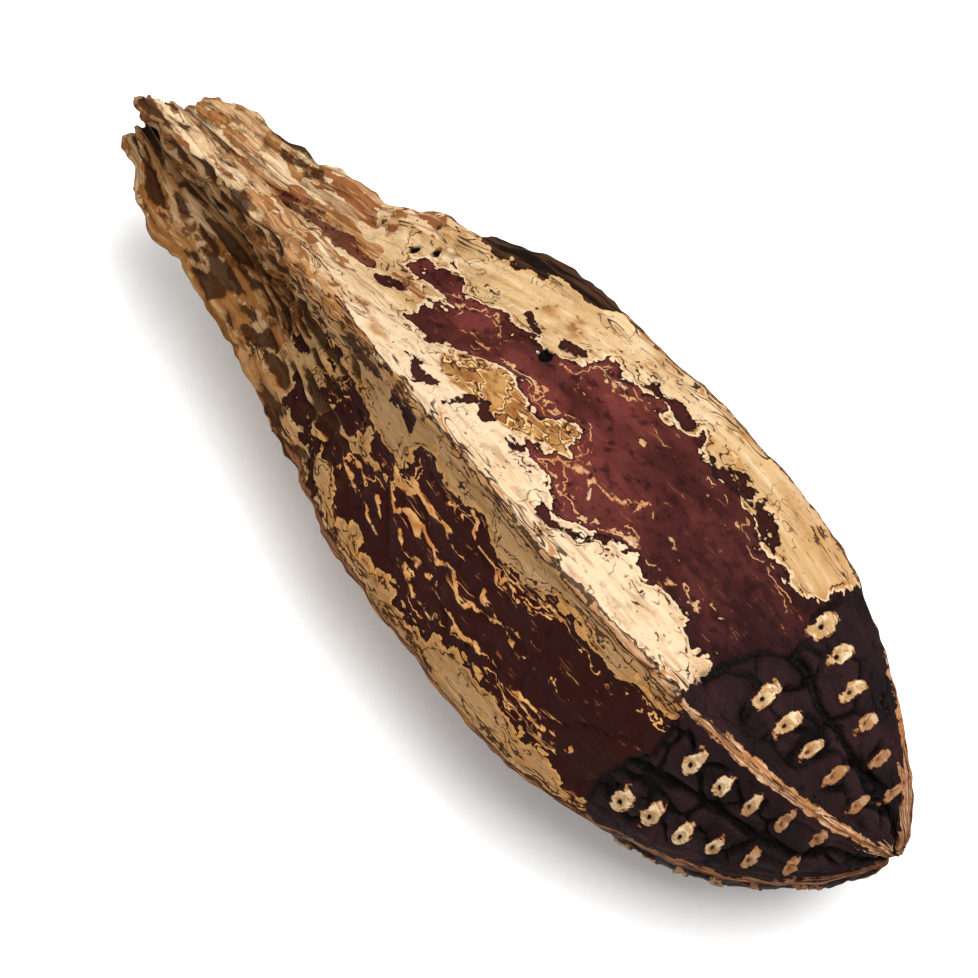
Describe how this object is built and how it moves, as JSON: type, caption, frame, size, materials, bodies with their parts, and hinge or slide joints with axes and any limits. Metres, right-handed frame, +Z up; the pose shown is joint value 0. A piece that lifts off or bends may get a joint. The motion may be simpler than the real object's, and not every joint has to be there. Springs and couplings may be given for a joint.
{
  "type": "mahogany seed pod core",
  "caption": "Dried, ribbed woody core of a mahogany seed pod, lying on its side: it swells from a broken stalk end to a belly and narrows to a pointed tip with rows of raised seed scars.",
  "frame": {"origin": "on the resting surface, under the middle of the core's box", "axes": "+X along the core from the broken stalk end to the pointed tip, +Z up from the resting surface, and -Y is the side that the topmost rib leans to"},
  "size_m": [0.1128, 0.0382, 0.037],
  "materials": {
    "dried_husk": "dry, matt and fibrous, cream over maroon, near black and slightly glossy at the tip"
  },
  "bodies": {
    "root": {"pod_core": "dried_husk"}
  },
  "joints": []
}
